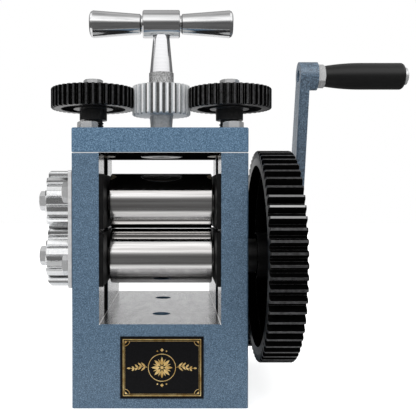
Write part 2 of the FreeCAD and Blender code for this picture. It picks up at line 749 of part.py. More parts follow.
def handle_grip():
    """The turned grip: a waist by the nut, a swell, and a rounded outer end."""
    start_r, full_r = grip_start_d / 2, grip_d / 2
    round_r = grip_swell / 9
    points = [Vec(0, start_r, 0), Vec(grip_swell / 2, start_r + grip_bow * (full_r - start_r), 0),
              Vec(grip_swell, full_r, 0)]
    shoulder_x = grip_length - round_r
    corner = Vec(shoulder_x + round_r * math.sin(math.pi / 4),
                 full_r - round_r + round_r * math.cos(math.pi / 4), 0)
    end_r = full_r - round_r
    edges = [Part.Arc(*points).toShape(),
             Part.LineSegment(points[-1], Vec(shoulder_x, full_r, 0)).toShape(),
             Part.Arc(Vec(shoulder_x, full_r, 0), corner, Vec(grip_length, end_r, 0)).toShape(),
             Part.LineSegment(Vec(grip_length, end_r, 0), Vec(grip_length, 0, 0)).toShape(),
             Part.LineSegment(Vec(grip_length, 0, 0), Vec(0, 0, 0)).toShape(),
             Part.LineSegment(Vec(0, 0, 0), points[0]).toShape()]
    grip = Part.Face(Part.Wire(edges)).revolve(Vec(0, 0, 0), Vec(1, 0, 0), 360)
    grip.translate(Vec(grip_x, handle_y, handle_z))
    return grip.cut(rod_x(grip_spindle_d + 2 * running, grip_x, grip_end_x, handle_y, handle_z))


# ---- screwdown ----
def pressure_screw(side):
    """A pressure screw: thread through the nut, plain seat above it for the gear."""
    x = side * cheek_x
    foot = upper_block_top - thrust_pad_depth + thrust_pad_thickness + running
    seat = screw_gear_z - screw_gear_hub
    top = screw_gear_z + screw_gear_thickness - seated
    profile = [(foot, screw_d / 2 - plate_edge), (foot + plate_edge, screw_d / 2), (seat, screw_d / 2),
               (seat, screw_top_d / 2), (top, screw_top_d / 2)]
    screw = turned(profile, (x, roll_y, 0), "z")
    return screw.cut(rod_z(m8_d + 2 * seated, top - end_bolt_length - side_gap, top, x, roll_y))


def screw_gear(side):
    """A screwdown gear: teeth, a ring recess under the rim, a low disc and a hub below it."""
    module = screw_gear_module
    pitch_r = module * screw_gear_teeth / 2
    tip_r = pitch_r + stub_addendum * module
    root_r = pitch_r - (stub_addendum + root_clearance) * module
    gap_at = 0 if side < 0 else 180
    gear = gear_blank(screw_gear_teeth, module, tip_r, root_r, screw_gear_thickness,
                      gap_at + 180 / screw_gear_teeth, 2, tooth_backlash / 2)
    gear = chamfered(gear, tip_r, screw_gear_thickness, plate_edge)
    ring = rod_z(2 * (root_r - screw_gear_rim), 0, screw_gear_recess, 0, 0)
    gear = gear.cut(ring.cut(rod_z(screw_gear_disc_d, 0, screw_gear_recess, 0, 0)))
    gear = gear.fuse(rod_z(screw_gear_hub_d, -screw_gear_hub, 0, 0, 0)).removeSplitter()
    gear = gear.cut(rod_z(screw_top_d + 2 * seated, -screw_gear_hub, screw_gear_thickness, 0, 0))
    gear.translate(Vec(side * cheek_x, roll_y, screw_gear_z))
    return gear


def screw_gear_bolt(side):
    ring = washer(screw_gear_hub_d - washer_thickness, m8_d + 2 * seated, washer_thickness)
    bolt = hex_bolt(m8_flats, m8_head, m8_d, end_bolt_length)
    top = screw_gear_z + screw_gear_thickness
    ring.translate(Vec(side * cheek_x, roll_y, top))
    bolt.translate(Vec(side * cheek_x, roll_y, top + washer_thickness))
    return ring, bolt


def spindle():
    """The handle spindle: journal, pinion seat, knurled collar, taper and a tenon for the bar."""
    foot = spindle_foot_z
    hub_under = bar_z - bar_hub_d / 2
    taper_top = hub_under + 2 * plate_edge
    profile = [(foot, spindle_journal_d / 2), (knurl_z + side_gap, spindle_journal_d / 2),
               (knurl_z + side_gap, knurl_d / 2), (knurl_z + knurl_height, knurl_d / 2),
               (knurl_z + knurl_height, taper_low_d / 2), (taper_top, taper_high_d / 2)]
    solid = turned(profile, (0, roll_y, 0), "z")
    saddle = rod_x(bar_hub_d + 2 * seated, -bar_hub_length / 2, bar_hub_length / 2, roll_y, bar_z)
    bore = rod_z(m8_d + 2 * seated, foot, foot + end_bolt_length, 0, roll_y)
    tenon = rod_z(tenon_d, hub_under - plate_edge, bar_z, 0, roll_y)
    return solid.cut([saddle, bore]).fuse(tenon).removeSplitter()


def spindle_sleeve():
    """The tapered sleeve between the plate and the pinion, which takes the thrust."""
    profile = [(plate_top + running, sleeve_foot_d / 2), (spindle_pinion_z, sleeve_head_d / 2)]
    sleeve = turned(profile, (0, roll_y, 0), "z")
    return sleeve.cut(rod_z(spindle_journal_d + 2 * seated, plate_top, spindle_pinion_z, 0, roll_y))


def spindle_pinion():
    module = screw_gear_module
    pitch_r = module * spindle_pinion_teeth / 2
    tip_r = pitch_r + stub_addendum * module
    root_r = pitch_r - (stub_addendum + root_clearance) * module
    pinion = gear_blank(spindle_pinion_teeth, module, tip_r, root_r, spindle_pinion_thickness, 0, 2,
                        tooth_backlash / 2)
    pinion = chamfered(pinion, tip_r, spindle_pinion_thickness, plate_edge)
    pinion = pinion.cut(rod_z(spindle_journal_d + 2 * seated, 0, spindle_pinion_thickness, 0, 0))
    pinion.translate(Vec(0, roll_y, spindle_pinion_z))
    return pinion


def t_bar_solid():
    """The turned T-bar: a grooved hub and two arms that swell to domed ends."""
    half = bar_length / 2
    hub = bar_hub_length / 2
    dome = bar_end_d / 8
    right = [(hub - plate_edge, bar_hub_d / 2), (hub, bar_hub_d / 2 - plate_edge),
             (hub, bar_neck_d / 2 - bar_groove), (hub + bar_groove, bar_neck_d / 2 - bar_groove),
             (hub + bar_groove + plate_edge, bar_neck_d / 2), (half - dome, bar_end_d / 2),
             (half - dome / 3, bar_end_d / 2 - dome / 3), (half, bar_end_d / 2 - dome)]
    left = [(-along, radius) for along, radius in reversed(right)]
    return turned(left + right, (0, roll_y, bar_z), "x")


def t_bar():
    taper_top = bar_z - bar_hub_d / 2
    return t_bar_solid().cut(rod_z(tenon_d + 2 * seated, taper_top, bar_z + seated, 0, roll_y))


def spindle_end():
    """The ring that holds the spindle up, let into the plate, and the screw let into the ring."""
    head_top = end_ring_z + side_gap + end_screw_head
    ring = rod_z(end_ring_d, end_ring_z, spindle_foot_z, 0, roll_y)
    ring = ring.makeChamfer(2 * side_gap, ring.Edges[2])
    ring = ring.cut([rod_z(end_screw_d + 2 * side_gap, end_ring_z, head_top, 0, roll_y),
                     rod_z(m8_d + 2 * seated, head_top, spindle_foot_z, 0, roll_y)])
    screw = rod_z(end_screw_d, end_ring_z + side_gap, head_top, 0, roll_y)
    screw = screw.fuse(rod_z(m8_d, head_top, spindle_foot_z + end_bolt_length - side_gap, 0, roll_y))
    socket = hexagon(crank_socket, end_screw_head / 2)
    socket.translate(Vec(0, roll_y, end_ring_z + side_gap))
    return ring, screw.removeSplitter().cut(socket)


# ---- the whole mill ----
def save_frame():
    save("frame_casting", frame_casting())
    save("top_plate", top_plate())
    save("plate_bolts", *plate_bolts())
    save("left_screw_nut", screw_nut(-cheek_x))
    save("right_screw_nut", screw_nut(cheek_x))
    save("spindle_bush", spindle_bush())
    save("keeper_plate", keeper_plate())
    save("keeper_bolts", *keeper_bolts())
    save("drive_bush_inner", drive_bush(drive_boss_x, drive_boss_x + base_wall))
    save("drive_bush_outer", drive_bush(half_width - base_wall, half_width))


def save_blocks():
    for side, name in ((-1, "left"), (1, "right")):
        save(f"lower_{name}_block", bearing_block(side, lower_axis_z, lower_block_bottom, lower_block_top,
                                                  False))
        save(f"upper_{name}_block", bearing_block(side, upper_axis_z, upper_block_bottom, upper_block_top,
                                                  True))
        save(f"lower_{name}_bush", journal_bush(side, lower_axis_z))
        save(f"upper_{name}_bush", journal_bush(side, upper_axis_z))
        save(f"{name}_thrust_pad", thrust_pad(side))
        save(f"{name}_lift_spring", lift_spring(side))


def save_rolls():
    half_pitch = 180 / roll_pinion_teeth
    save("upper_roll", upper_roll())
    save("upper_roll_pinion", roll_pinion(upper_axis_z, half_pitch))
    save("upper_pinion_key", key_block(roll_key_x(), key_length, roll_y, upper_axis_z + pinion_seat_d / 2))
    save("upper_pinion_bolt", *pinion_bolt(upper_axis_z))
    save("lower_roll", lower_roll())
    save("lower_roll_pinion", roll_pinion(lower_axis_z, 0))
    save("lower_pinion_key", key_block(roll_key_x(), key_length, roll_y, lower_axis_z + pinion_seat_d / 2))
    save("lower_pinion_bolt", *pinion_bolt(lower_axis_z))
    save("big_gear", big_gear())
    save("big_gear_key", key_block(big_gear_x + big_gear_width / 2 - key_length / 2, key_length, roll_y,
                                   lower_axis_z + gear_seat_d / 2))
    save("big_gear_bolt", *big_gear_bolt())


def save_crank():
    save("drive_shaft", drive_shaft())
    save("drive_pinion", drive_pinion())
    save("drive_pinion_key", key_block((drive_pinion_x + drive_pinion_end - key_length) / 2, key_length,
                                       drive_y, drive_z + drive_seat_d / 2))
    save("shaft_collar", *shaft_collar())
    save("crank_arm", crank_arm())
    save("crank_screw", crank_screw())
    save("grip_spindle", grip_spindle())
    save("grip_lock_nut", grip_lock_nut())
    save("handle_grip", handle_grip())


def save_screwdown():
    for side, name in ((-1, "left"), (1, "right")):
        save(f"{name}_screw", pressure_screw(side))
        save(f"{name}_screw_gear", screw_gear(side))
        save(f"{name}_screw_bolt", *screw_gear_bolt(side))
    save("spindle", spindle())
    save("spindle_sleeve", spindle_sleeve())
    save("spindle_pinion", spindle_pinion())
    save("t_bar", t_bar())
    ring, screw = spindle_end()
    save("spindle_ring", ring)
    save("spindle_end_screw", screw)


os.makedirs("parts", exist_ok=True)
save_frame()
save_blocks()
save_rolls()
save_crank()
save_screwdown()
print(f"lower roll axis z {lower_axis_z:.2f}, upper {upper_axis_z:.2f}, y {roll_y:.2f}")
print(f"drive shaft y {drive_y:.2f} z {drive_z:.2f}, handle y {handle_y:.2f} z {handle_z:.2f}")
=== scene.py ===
import json
import math

import bmesh
import bpy
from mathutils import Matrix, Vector


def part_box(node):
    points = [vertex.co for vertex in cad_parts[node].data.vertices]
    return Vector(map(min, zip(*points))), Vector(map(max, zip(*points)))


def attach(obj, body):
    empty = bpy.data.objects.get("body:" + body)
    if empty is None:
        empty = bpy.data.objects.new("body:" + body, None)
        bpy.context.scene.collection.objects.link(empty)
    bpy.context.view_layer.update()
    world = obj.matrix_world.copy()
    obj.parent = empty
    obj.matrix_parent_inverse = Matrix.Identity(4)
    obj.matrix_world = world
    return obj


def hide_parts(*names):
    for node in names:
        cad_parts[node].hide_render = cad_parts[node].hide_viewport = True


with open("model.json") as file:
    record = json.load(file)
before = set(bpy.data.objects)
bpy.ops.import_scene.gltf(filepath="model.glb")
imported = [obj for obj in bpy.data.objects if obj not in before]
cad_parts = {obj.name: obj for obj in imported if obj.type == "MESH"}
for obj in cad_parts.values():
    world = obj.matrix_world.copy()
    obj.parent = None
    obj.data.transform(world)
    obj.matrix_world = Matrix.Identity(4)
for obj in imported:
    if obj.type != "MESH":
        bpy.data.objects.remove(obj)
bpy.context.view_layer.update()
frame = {"nodes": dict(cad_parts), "record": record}
scene = bpy.context.scene
mm = 0.001
record = frame["record"]
bodyOf = {node: body for body, nodes in record["behaviour"]["bodies"].items() for node in nodes}
print("frame loaded:", len(frame["nodes"]), "nodes")


def addNode(tree, kind, **settings):
    node = tree.nodes.new(kind)
    for key, value in settings.items():
        setattr(node, key, value)
    return node


def setInputs(node, values):
    for key, value in values.items():
        node.inputs[key].default_value = value


def linkOrSet(tree, value, socket):    # a socket is linked, a number or a colour is set
    if isinstance(value, bpy.types.NodeSocket):
        tree.links.new(value, socket)
    elif isinstance(value, tuple):
        socket.default_value = (*value, 1)
    else:
        socket.default_value = value


def newGroup(name, inputs, outputs):
    group = bpy.data.node_groups.new(name, "ShaderNodeTree")
    for label, kind, value in inputs:
        socket = group.interface.new_socket(name=label, in_out="INPUT", socket_type=kind)
        socket.default_value = value
    for label, kind in outputs:
        group.interface.new_socket(name=label, in_out="OUTPUT", socket_type=kind)
    return group, group.nodes.new("NodeGroupInput"), group.nodes.new("NodeGroupOutput")


def groupNode(tree, group, values):
    node = addNode(tree, "ShaderNodeGroup", node_tree=group)
    setInputs(node, values)
    return node


def objectPlace(tree):
    return addNode(tree, "ShaderNodeTexCoord").outputs["Object"]


def mathNode(tree, operation, *values):
    node = addNode(tree, "ShaderNodeMath", operation=operation)
    for socket, value in zip(node.inputs, values):
        linkOrSet(tree, value, socket)
    return node.outputs[0]


def vectorNode(tree, operation, first, second):
    node = addNode(tree, "ShaderNodeVectorMath", operation=operation)
    for socket, value in zip(node.inputs, (first, second)):
        if isinstance(value, bpy.types.NodeSocket):
            tree.links.new(value, socket)
        elif value is not None:
            socket.default_value = value
    return node.outputs["Value" if operation == "DISTANCE" else "Vector"]


def rampNode(tree, factor, stops):    # each stop is a place and a colour, or a place and a grey
    ramp = addNode(tree, "ShaderNodeValToRGB")
    elements = ramp.color_ramp.elements
    while len(elements) < len(stops):
        elements.new(0.5)
    for element, (place, colour) in zip(elements, stops):
        element.position = place
        element.color = (*colour, 1) if isinstance(colour, tuple) else (colour, colour, colour, 1)
    tree.links.new(factor, ramp.inputs[0])
    return ramp.outputs["Color"]


def fadeNode(tree, value, low, high):    # 0 at low, 1 at high, straight between them
    node = addNode(tree, "ShaderNodeMapRange")
    setInputs(node, {"From Min": low, "From Max": high})
    tree.links.new(value, node.inputs["Value"])
    return node.outputs[0]


mixSockets = {"RGBA": (0, 6, 7, 2), "FLOAT": (0, 2, 3, 0)}    # factor, first, second, result


def mixNode(tree, kind, *values):
    node = addNode(tree, "ShaderNodeMix", data_type=kind)
    *inputs, result = mixSockets[kind]
    for socket, value in zip(inputs, values):
        linkOrSet(tree, value, node.inputs[socket])
    return node.outputs[result]


def mixColour(tree, factor, first, second):
    return mixNode(tree, "RGBA", factor, first, second)


def mixValue(tree, factor, first, second):    # two equal numbers need no node
    return first if first == second else mixNode(tree, "FLOAT", factor, first, second)


def endInRelief(group, start, end, noise):    # the noise is the mask, and a height for the normal
    bump = addNode(group, "ShaderNodeBump")
    group.links.new(noise.outputs["Fac"], bump.inputs["Height"])
    group.links.new(start.outputs["Depth"], bump.inputs["Distance"])
    group.links.new(start.outputs["Strength"], bump.inputs["Strength"])
    group.links.new(noise.outputs["Fac"], end.inputs["Mask"])
    group.links.new(bump.outputs["Normal"], end.inputs["Normal"])


def makeGrainGroup():    # mottled skin: cast, hammered or moulded
    group, start, end = newGroup("surface grain", [
        ("Scale", "NodeSocketFloat", 900.0), ("Detail", "NodeSocketFloat", 3.0),
        ("Depth", "NodeSocketFloat", 0.05 * mm), ("Strength", "NodeSocketFloat", 0.4)],
        [("Mask", "NodeSocketFloat"), ("Normal", "NodeSocketVector")])
    noise = addNode(group, "ShaderNodeTexNoise")
    group.links.new(objectPlace(group), noise.inputs["Vector"])
    group.links.new(start.outputs["Scale"], noise.inputs["Scale"])
    group.links.new(start.outputs["Detail"], noise.inputs["Detail"])
    endInRelief(group, start, end, noise)
    return group


def makeToolMarkGroup():    # fine lines left by turning or grinding, along one direction
    group, start, end = newGroup("tool marks", [
        ("Stretch", "NodeSocketVector", (1.0, 1.0, 1.0)), ("Depth", "NodeSocketFloat", 0.02 * mm),
        ("Strength", "NodeSocketFloat", 0.3)],
        [("Mask", "NodeSocketFloat"), ("Normal", "NodeSocketVector")])
    noise = addNode(group, "ShaderNodeTexNoise")
    setInputs(noise, {"Scale": 1.0, "Detail": 4.0, "Roughness": 0.65})
    stretched = vectorNode(group, "MULTIPLY", objectPlace(group), start.outputs["Stretch"])
    group.links.new(stretched, noise.inputs["Vector"])
    endInRelief(group, start, end, noise)
    return group


def makeBoxMaskGroup():    # 1 inside a box given by its middle and half size, 0 outside
    group, start, end = newGroup("inside box", [
        ("Middle", "NodeSocketVector", (0.0, 0.0, 0.0)),
        ("Half", "NodeSocketVector", (1.0, 1.0, 1.0))], [("Mask", "NodeSocketFloat")])
    away = vectorNode(group, "SUBTRACT", objectPlace(group), start.outputs["Middle"])
    away = vectorNode(group, "ABSOLUTE", away, None)
    inside = vectorNode(group, "SUBTRACT", start.outputs["Half"], away)
    split = addNode(group, "ShaderNodeSeparateXYZ")
    group.links.new(inside, split.inputs[0])
    least = mathNode(group, "MINIMUM", split.outputs["X"], split.outputs["Y"])
    least = mathNode(group, "MINIMUM", least, split.outputs["Z"])
    group.links.new(mathNode(group, "GREATER_THAN", least, 0.0), end.inputs["Mask"])
    return group


grainGroup = makeGrainGroup()
toolMarkGroup = makeToolMarkGroup()
boxMaskGroup = makeBoxMaskGroup()

shaderWords = {"metal": "Metallic", "specular": "Specular IOR Level", "index": "IOR",
               "coat": "Coat Weight", "coatRough": "Coat Roughness", "coatIndex": "Coat IOR"}
toneStops = (0.3, 0.7)    # where in the noise the dark and the light tone begin


def named(shine):    # the shader's own names for the words used here
    return {shaderWords[key]: value for key, value in shine.items()}


def newMaterial(name, shine):
    material = bpy.data.materials.new(name)
    material.use_nodes = True
    shader = material.node_tree.nodes["Principled BSDF"]
    setInputs(shader, shine)
    return material, material.node_tree, shader


def twoToneMaterial(name, group, groupValues, dark, light, rough, shine):
    material, tree, shader = newMaterial(name, shine)
    marks = groupNode(tree, group, groupValues)
    mask = marks.outputs["Mask"]
    tones = rampNode(tree, mask, list(zip(toneStops, (dark, light))))
    tree.links.new(tones, shader.inputs["Base Color"])
    tree.links.new(mixValue(tree, mask, *rough), shader.inputs["Roughness"])
    tree.links.new(marks.outputs["Normal"], shader.inputs["Normal"])
    return material


def grainMaterial(name, dark, light, rough, scale, depth, strength, **shine):    # depth in mm
    values = {"Scale": scale, "Depth": depth * mm, "Strength": strength}
    return twoToneMaterial(name, grainGroup, values, dark, light, rough, named(shine))


def turnedMaterial(name, dark, light, rough, stretch, depth, strength, **shine):    # depth in mm
    values = {"Stretch": stretch, "Depth": depth * mm, "Strength": strength}
    return twoToneMaterial(name, toolMarkGroup, values, dark, light, rough, named(shine))


def boxesMask(tree, boxes):    # 1 inside any of the boxes
    mask = None
    for middle, half in boxes:
        one = groupNode(tree, boxMaskGroup, {"Middle": middle, "Half": half}).outputs["Mask"]
        mask = one if mask is None else mathNode(tree, "MAXIMUM", mask, one)
    return mask


paint = {
    "dark": (0.030, 0.062, 0.105), "light": (0.084, 0.148, 0.224), "speck": (0.19, 0.29, 0.40),
    "toneStops": (0.34, 0.52, 0.68), "rough": (0.42, 0.30),
    "grainScale": 1900.0, "grainDepth": 0.12 * mm, "grainDetail": 2.0,
    "bare": (0.66, 0.66, 0.67), "bareDark": (0.48, 0.48, 0.49), "darkPatch": (0.38, 0.38, 0.39),
    "bareRough": 0.27, "bareMetal": 0.93,
    "markStretch": (220.0, 60.0, 160.0), "markDepth": 0.03 * mm, "markStrength": 0.35,
    # bright is for the pale lines, painted highlights among them; slot and slotRough are the painted
    # shade's colour and roughness
    "bright": (0.86, 0.86, 0.86), "slot": (0.004, 0.004, 0.004), "slotRough": 1.0,
}


def bareColour(tree, darkPatchBoxes):    # machined metal, with darker patches
    marks = groupNode(tree, toolMarkGroup, {
        "Stretch": paint["markStretch"], "Depth": paint["markDepth"],
        "Strength": paint["markStrength"]})
    tones = (paint["bareDark"], paint["bare"])
    bare = rampNode(tree, marks.outputs["Mask"], list(zip(toneStops, tones)))
    if darkPatchBoxes:
        bare = mixColour(tree, boxesMask(tree, darkPatchBoxes), bare, paint["darkPatch"])
    return bare


def hammerPaint(name, coat=0.3, relief=0.5, pale=1.0, grainSize=1.0, bareBoxes=(), darkPatchBoxes=(),
                brightBoxes=(), shadeBoxes=(), **shine):
    look = {"coat": coat, "coatRough": 0.14, "specular": 0.45, **shine}
    material, tree, shader = newMaterial(name, named(look))
    grain = groupNode(tree, grainGroup, {
        "Scale": paint["grainScale"] / grainSize, "Depth": paint["grainDepth"],
        "Strength": relief, "Detail": paint["grainDetail"]})
    tones = [tuple(pale * part for part in paint[tone]) for tone in ("dark", "light", "speck")]
    colour = rampNode(tree, grain.outputs["Mask"], list(zip(paint["toneStops"], tones)))
    rough = mixValue(tree, grain.outputs["Mask"], *paint["rough"])
    metal = 0.0
    if bareBoxes:
        mask = boxesMask(tree, bareBoxes)
        colour = mixColour(tree, mask, colour, bareColour(tree, darkPatchBoxes))
        rough = mixValue(tree, mask, rough, paint["bareRough"])
        metal = mixValue(tree, mask, metal, paint["bareMetal"])
    # pale lines: the seam, and on the casting painted highlights at the floor's corners and a line
    # across the floor
    if brightBoxes:
        mask = boxesMask(tree, brightBoxes)
        colour = mixColour(tree, mask, colour, paint["bright"])
        metal = mixValue(tree, mask, metal, 0.0)
    # painted shade: these boxes are near black, dull and without coat
    if shadeBoxes:
        mask = boxesMask(tree, shadeBoxes)
        colour = mixColour(tree, mask, colour, paint["slot"])
        metal = mixValue(tree, mask, metal, 0.0)
        rough = mixValue(tree, mask, rough, paint["slotRough"])
        tree.links.new(mixValue(tree, mask, coat, 0.0), shader.inputs["Coat Weight"])
    tree.links.new(colour, shader.inputs["Base Color"])
    tree.links.new(rough, shader.inputs["Roughness"])
    linkOrSet(tree, metal, shader.inputs["Metallic"])
    tree.links.new(grain.outputs["Normal"], shader.inputs["Normal"])
    return material


castLow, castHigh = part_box("frame_casting")
plateLow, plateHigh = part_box("top_plate")
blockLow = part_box("lower_right_block")[0]
grossX = castHigh.x
frontY, cheekBackY = castLow.y, plateHigh.y
innerX = 42.5 * mm    # half the width between the cheeks
rollY = -35 * mm      # where the rolls lie, front to back
floorZ = 59 * mm      # the machined floor under the rolls
slotHalf = 14 * mm    # half the width of a block's slot
hair = 0.02 * mm      # how far a painted box reaches past the faces it covers
bothSides = (-1, 1)

sizes = {name: value * mm for name, value in {    # of the painted boxes, in mm
    "seamHalf": 0.28, "slotEnd": 0.2, "reliefHalf": 3.0,
    "cornerHighlightIn": 0.3, "cornerHighlightHalf": 0.35,
    "crossLineY": -36.5, "crossLineHalf": 0.25, "crossLineHigh": 0.3,
    "darkPatchX": 38.8, "darkPatchY": -64.0, "darkPatchHalfX": 3.4, "darkPatchHalfY": 18.5, "darkPatchHigh": 0.3,
    "underOut": 25.0, "underIn": 0.7, "underHalf": 1.0,
}.items()}

window = ((0, 0, (floorZ + castHigh.z) / 2),
          (innerX + hair, castHigh.y * 2, (castHigh.z - floorZ) / 2 + hair))
seam = ((0, 0, castHigh.z), (grossX * 2, castHigh.y * 2, sizes["seamHalf"]))
# painted shade in the block slots and on the walls below the blocks
slotHalves = ((grossX - innerX) / 2 + sizes["slotEnd"], slotHalf + hair,
              (castHigh.z - blockLow.z) / 2 + hair)
slotShades = [((side * (innerX + grossX) / 2, rollY, (blockLow.z + castHigh.z) / 2), slotHalves)
         for side in bothSides]
reliefHalves = (sizes["reliefHalf"] + hair, slotHalf + hair, (blockLow.z - floorZ) / 2 + hair)
reliefShades = [((side * (innerX + sizes["reliefHalf"]), rollY, (floorZ + blockLow.z) / 2), reliefHalves)
           for side in bothSides]
# painted highlights along the floor's corners with the walls, and a pale line across the floor
cornerHighlightsAndCrossLine = [((side * (innerX - sizes["cornerHighlightIn"]), 0, floorZ),
               (sizes["cornerHighlightHalf"], -frontY, sizes["cornerHighlightHalf"])) for side in bothSides]
cornerHighlightsAndCrossLine.append(((0, sizes["crossLineY"], floorZ),
                   (innerX, sizes["crossLineHalf"], sizes["crossLineHigh"])))
# darker patches on the floor at its front corners, by the walls
floorDarkPatches = [((side * sizes["darkPatchX"], sizes["darkPatchY"], floorZ),
                (sizes["darkPatchHalfX"], sizes["darkPatchHalfY"], sizes["darkPatchHigh"])) for side in bothSides]
# painted shade under the top plate
undersideShade = ((0, (frontY + cheekBackY) / 2, plateLow.z - sizes["underHalf"]),
             (innerX + sizes["underOut"], (cheekBackY - frontY) / 2 - sizes["underIn"],
              sizes["underHalf"] + hair))

castingPaint = hammerPaint("hammered blue casting", bareBoxes=[window], darkPatchBoxes=floorDarkPatches,
                           brightBoxes=[seam] + cornerHighlightsAndCrossLine, shadeBoxes=slotShades + reliefShades)
platePaint = hammerPaint("hammered blue plate", coat=0.45, specular=0.0, pale=1.22,
                         brightBoxes=[seam], shadeBoxes=[undersideShade])
armPaint = hammerPaint("hammered blue arm", relief=1.0, pale=0.92, grainSize=2.0,
                       coatRough=0.22, coatIndex=1.8, specular=0.8, index=1.7)

rollSteel = turnedMaterial(
    "ground roll steel", dark=(0.52, 0.50, 0.49), light=(1.0, 0.99, 0.98), rough=(0.07, 0.12),
    stretch=(7.0, 380.0, 380.0), depth=0.002, strength=0.06, metal=1.0)
chrome = turnedMaterial(
    "polished chrome", dark=(0.60, 0.60, 0.61), light=0.98, rough=(0.10, 0.17),
    stretch=(9.0, 420.0, 420.0), depth=0.002, strength=0.06, metal=1.0)
spindleChrome = turnedMaterial(
    "polished spindle", dark=(0.80, 0.80, 0.82), light=(0.90, 0.90, 0.91), rough=(0.10, 0.16),
    stretch=(20.0, 20.0, 1400.0), depth=0.004, strength=0.2, metal=1.0)
pinionSteel = grainMaterial(
    "bright pinion steel", dark=(0.84, 0.85, 0.86), light=0.92, rough=(0.24, 0.18),
    scale=700.0, depth=0.004, strength=0.08, metal=1.0)
toothSteel = grainMaterial(
    "tooth flank steel", dark=(0.62, 0.64, 0.65), light=(0.80, 0.82, 0.83), rough=(0.34, 0.24),
    scale=700.0, depth=0.004, strength=0.08, metal=0.3)
# painted shade in the spindle pinion's tooth roots
pinionRootShade = grainMaterial(
    "pinion tooth root shade", dark=0.07, light=0.16, rough=(0.60, 0.50),
    scale=700.0, depth=0.004, strength=0.08, specular=0.2)
# painted highlight: the spindle pinion's tooth lands, paler than its flanks
pinionLandHighlight = grainMaterial(
    "pinion tooth land highlight", dark=0.92, light=0.97, rough=(0.34, 0.24),
    scale=700.0, depth=0.004, strength=0.08, metal=0.1)
boltZinc = grainMaterial(
    "bolt zinc", dark=(0.80, 0.81, 0.82), light=0.94, rough=(0.30, 0.20),
    scale=700.0, depth=0.006, strength=0.1, metal=0.7)
plateSteel = grainMaterial(
    "keeper plate steel", dark=(0.62, 0.62, 0.63), light=0.80, rough=(0.42, 0.32),
    scale=300.0, depth=0.03, strength=0.3, metal=0.35)
darkSteel = grainMaterial(
    "dark screw steel", dark=0.012, light=0.035, rough=(0.45, 0.30),
    scale=400.0, depth=0.04, strength=0.3, metal=0.4)
gearBlack = grainMaterial(
    "oiled black gear", dark=(0.005, 0.005, 0.0055), light=0.014, rough=(0.38, 0.24),
    scale=600.0, depth=0.06, strength=0.4, specular=0.42)
# painted shade in the tooth gaps and in the big gear's recess
gearGapShade = grainMaterial(
    "gear tooth gap shade", dark=0.001, light=0.003, rough=(0.90, 0.70),
    scale=600.0, depth=0.04, strength=0.3, specular=0.0)
gearEdge = grainMaterial(
    "worn gear edge", dark=0.05, light=0.24, rough=(0.36, 0.24),
    scale=420.0, depth=0.04, strength=0.3, metal=0.7)
# the tooth lands are paler than the black body: wear, and a painted highlight
gearLand = grainMaterial(
    "gear tooth land", dark=(0.016, 0.016, 0.017), light=(0.075, 0.075, 0.078), rough=(0.38, 0.24),
    scale=380.0, depth=0.04, strength=0.3, metal=0.5)
# painted highlight on some of the big gear's tooth lands
gearLandHighlight = grainMaterial(
    "gear tooth land highlight", dark=(0.020, 0.020, 0.021), light=(0.080, 0.080, 0.083),
    rough=(0.38, 0.24), scale=380.0, depth=0.04, strength=0.3, metal=0.4)
blockBlack = grainMaterial(
    "blackened block", dark=(0.004, 0.004, 0.0045), light=0.009, rough=(0.62, 0.48),
    scale=350.0, depth=0.08, strength=0.5, specular=0.10)
ringBlack = grainMaterial(
    "blackened ring face", dark=0.003, light=0.006, rough=(0.34, 0.26),
    scale=500.0, depth=0.01, strength=0.1, specular=0.6)
ringEdge = grainMaterial(
    "worn ring edge", dark=0.03, light=0.06, rough=(0.30, 0.22),
    scale=500.0, depth=0.01, strength=0.1, specular=1.0)
bronze = grainMaterial(
    "turned bronze", dark=(0.16, 0.13, 0.09), light=(0.30, 0.25, 0.18), rough=(0.42, 0.30),
    scale=500.0, depth=0.03, strength=0.3, metal=0.8)
shaftSteel = turnedMaterial(
    "turned shaft steel", dark=0.45, light=0.60, rough=(0.28, 0.20),
    stretch=(900.0, 30.0, 30.0), depth=0.01, strength=0.3, metal=1.0)
gripBlack = grainMaterial(
    "moulded grip black", dark=0.005, light=0.009, rough=(0.38, 0.30),
    scale=900.0, depth=0.02, strength=0.2, specular=0.5)
panelBlack = grainMaterial(
    "panel black", dark=(0.004, 0.004, 0.0045), light=(0.007, 0.007, 0.008), rough=(0.40, 0.32),
    scale=700.0, depth=0.01, strength=0.1, specular=0.1)
gold = grainMaterial(
    "ornament gold", dark=(0.46, 0.25, 0.04), light=(1.0, 0.76, 0.34), rough=(0.42, 0.26),
    scale=230.0, depth=0.03, strength=0.3, metal=0.4)

spindleBands = (    # heights in mm
    {"low": 232.2, "high": 241.9, "scale": 1400.0, "dark": 0.36, "light": 0.98,
     "rough": 0.52, "metal": 1.0},
    {"low": 195.0, "high": 209.5, "scale": 500.0, "dark": 0.80, "light": 1.0,
     "rough": 0.24, "metal": 0.65},
)
bandGrain = {"reach": 50 * mm, "detail": 2.0, "stops": (0.38, 0.62)}
# where the big gear's tooth lands carry the painted highlight
toothHighlight = {"middle": (0, -105 * mm, 141 * mm), "near": 2 * mm, "far": 14 * mm,
             "colour": (0.46, 0.46, 0.46)}


